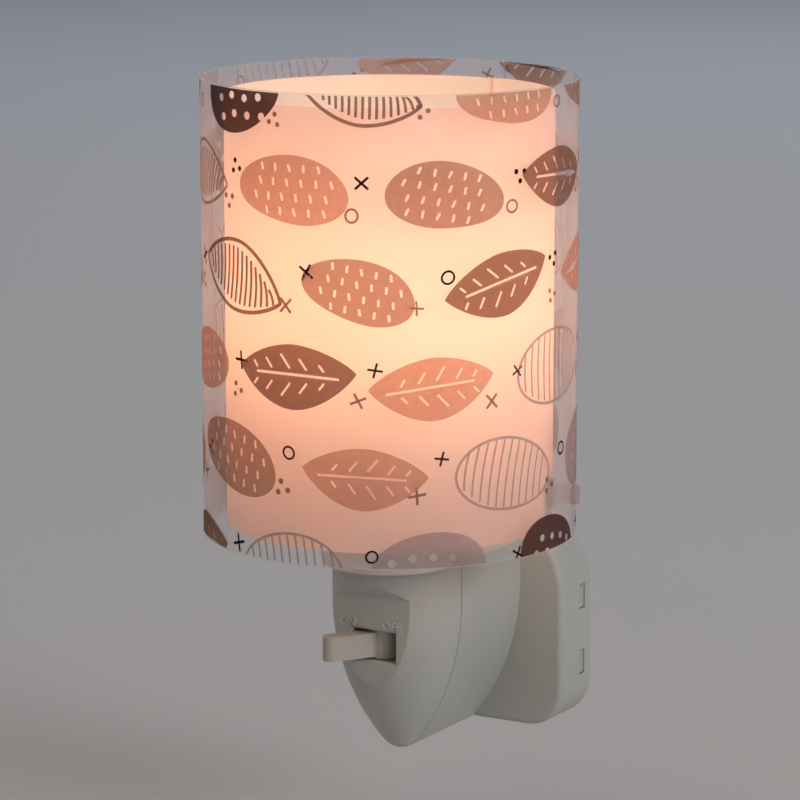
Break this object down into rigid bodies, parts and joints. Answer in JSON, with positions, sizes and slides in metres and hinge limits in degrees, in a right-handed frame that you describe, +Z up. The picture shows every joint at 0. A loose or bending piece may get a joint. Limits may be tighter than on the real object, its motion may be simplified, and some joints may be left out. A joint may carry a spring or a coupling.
{
  "type": "plug-in night light",
  "caption": "Plug-in night light: drum shade of clear printed film round a pink diffuser, on a tapered body with a toggle switch and a two-pin plug.",
  "frame": {"origin": "middle of the plug's flat rear face, midway between its two pins, in the plane of the wall", "axes": "+Z up, +Y into the wall along the pins, -Y the front, +X to the right seen from the front"},
  "size_m": [0.0802, 0.104, 0.1476],
  "materials": {
    "housing_plastic": "moulded polycarbonate, satin, light grey white",
    "cover_plastic": "moulded polycarbonate, satin",
    "pin_metal": "nickel plated brass",
    "sleeve_plastic": "moulded insulating sleeve",
    "brass_parts": "bare rolled brass",
    "spring_steel": "rolled spring steel",
    "lever_plastic": "moulded, satin",
    "holder_plastic": "moulded heat-proof plastic",
    "screw_steel": "zinc plated",
    "cap_metal": "nickel plated screw cap",
    "cap_insulator": "black moulded insulator",
    "bulb_plastic": "moulded, satin white",
    "bulb_globe": "opal diffusing globe, lit warm",
    "board": "white circuit board",
    "light_chips": "phosphor-coated chips",
    "clear_film": "clear polypropylene film, printed",
    "pink_diffuser": "translucent pink polypropylene sheet",
    "carrier_plastic": "moulded white plastic",
    "clear_plastic": "clear moulded nylon",
    "wire_brown": "insulated lead",
    "wire_blue": "insulated lead"
  },
  "bodies": {
    "housing": {"front_housing": "housing_plastic", "rear_housing": "housing_plastic", "plug_base": "housing_plastic", "plug_rear_cover": "cover_plastic", "plug_pin_left": "pin_metal", "plug_pin_right": "pin_metal", "pin_sleeves": "sleeve_plastic", "pin_terminals": "brass_parts", "switch_frame": "lever_plastic", "switch_contacts": "brass_parts", "switch_leaf_spring": "spring_steel", "lampholder_body": "holder_plastic", "lampholder_collar": "holder_plastic", "lampholder_shell": "brass_parts", "lampholder_contact": "brass_parts", "lampholder_clip": "spring_steel", "base_screws": "screw_steel", "seam_screw": "screw_steel", "live_wire": "wire_brown", "neutral_wire": "wire_blue", "switch_wire": "wire_brown"},
    "lever": {"switch_lever": "lever_plastic"},
    "shade": {"shade_film": "clear_film", "shade_diffuser": "pink_diffuser", "shade_carrier": "carrier_plastic", "shade_rivets": "clear_plastic"},
    "bulb": {"bulb_cap": "cap_metal", "bulb_insulator": "cap_insulator", "bulb_tip_contact": "cap_metal", "bulb_neck": "bulb_plastic", "bulb_globe": "bulb_globe", "bulb_led_board": "board", "bulb_leds": "light_chips"}
  },
  "joints": [
    {"name": "switch_toggle", "type": "hinge", "parent": "housing", "child": "lever", "pos_m": [0, -0.047, 0.00345], "axis": [0, 0, 1], "range_deg": [0, 64]},
    {"name": "shade_lift", "type": "slide", "parent": "housing", "child": "shade", "axis": [0, 0, 1], "range_m": [0, 0.08]},
    {"name": "bulb_unscrew", "type": "slide", "parent": "housing", "child": "bulb", "axis": [0, 0, 1], "range_m": [0, 0.03]}
  ]
}
